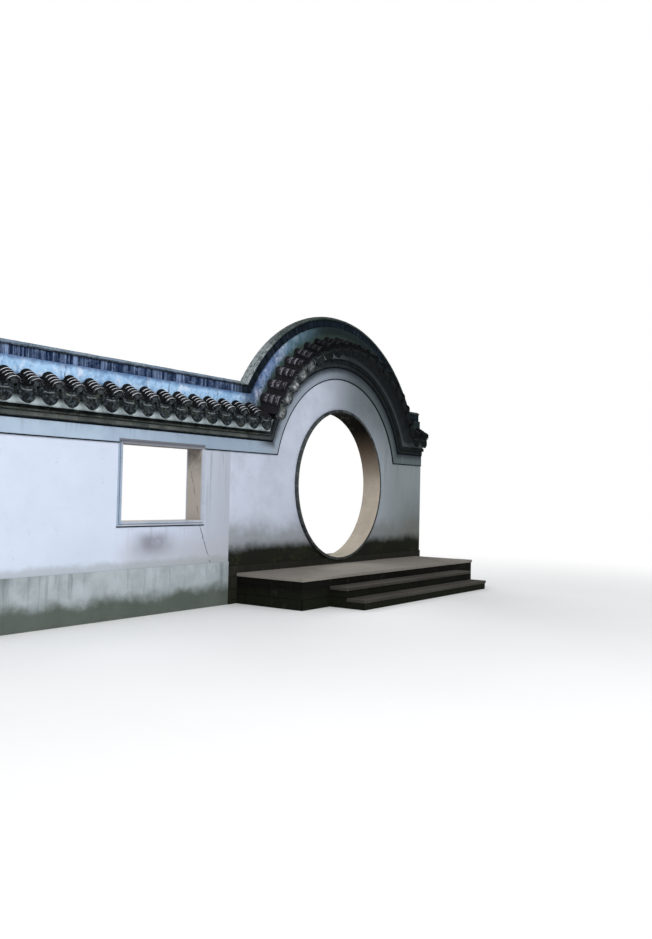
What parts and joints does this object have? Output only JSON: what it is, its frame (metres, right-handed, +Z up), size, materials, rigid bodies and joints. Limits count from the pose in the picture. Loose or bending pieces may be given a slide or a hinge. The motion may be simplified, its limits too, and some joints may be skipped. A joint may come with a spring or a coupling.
{
  "type": "moon gate",
  "caption": "garden wall with a round moon gate under an arched tile coping, a straight wing with one rectangular window, and a landing with steps on both sides",
  "frame": {"origin": "the footing, on the lower ground, under the middle of the round opening and the middle of the wall's thickness", "axes": "X along the wall to the right as seen from the front, Y through the wall to the back, Z up"},
  "size_m": [9.8736, 3.824, 4.5358],
  "materials": {
    "plaster_gate": "matte",
    "plaster_garden": "matte",
    "plaster_frieze": "matte",
    "plinth": "matte",
    "base_course": "matte",
    "string_brick": "matte",
    "band_brick": "matte",
    "coping_plaster": "matte",
    "roof_tile": "matte",
    "ridge_plaster": "matte",
    "ridge_tile": "matte",
    "ridge_cap": "matte",
    "frame_brick": "matte",
    "ring_brick": "matte",
    "soffit_plaster": "matte",
    "landing_core": "matte",
    "paving_slab": "matte"
  },
  "bodies": {
    "root": {"gate_wall_left": "plaster_gate", "gate_wall_right": "plaster_gate", "gate_wall_crown": "plaster_gate", "garden_wall_end": "plaster_garden", "garden_wall_by_gate": "plaster_garden", "garden_wall_under_window": "plaster_garden", "garden_wall_over_window": "plaster_garden", "frieze_front": "plaster_frieze", "frieze_back": "plaster_frieze", "garden_plinth": "plinth", "gate_base_course": "base_course", "string_course_front": "string_brick", "string_course_back": "string_brick", "cornice_band_front": "band_brick", "cornice_band_back": "band_brick", "coping_core_left": "coping_plaster", "coping_core_arch": "coping_plaster", "coping_core_right": "coping_plaster", "pan_tiles_left": "roof_tile", "pan_tiles_arch": "roof_tile", "pan_tiles_right": "roof_tile", "cover_tiles_left": "roof_tile", "cover_tiles_arch": "roof_tile", "cover_tiles_right": "roof_tile", "drip_tiles_left": "roof_tile", "drip_tiles_arch": "roof_tile", "drip_tiles_right": "roof_tile", "ridge_base_left": "ridge_plaster", "ridge_base_arch": "ridge_plaster", "ridge_base_right": "ridge_plaster", "ridge_tiles_left": "ridge_tile", "ridge_tiles_arch": "ridge_tile", "ridge_tiles_right": "ridge_tile", "ridge_cap_left": "ridge_cap", "ridge_cap_arch": "ridge_cap", "ridge_cap_right": "ridge_cap", "window_frame": "frame_brick", "opening_ring": "ring_brick", "opening_lining": "soffit_plaster", "landing_core_front": "landing_core", "landing_core_back": "landing_core", "step_base_front": "landing_core", "step_base_back": "landing_core", "landing_slab_front": "paving_slab", "landing_slab_back": "paving_slab", "treads_front": "paving_slab", "treads_back": "paving_slab"}
  },
  "joints": []
}
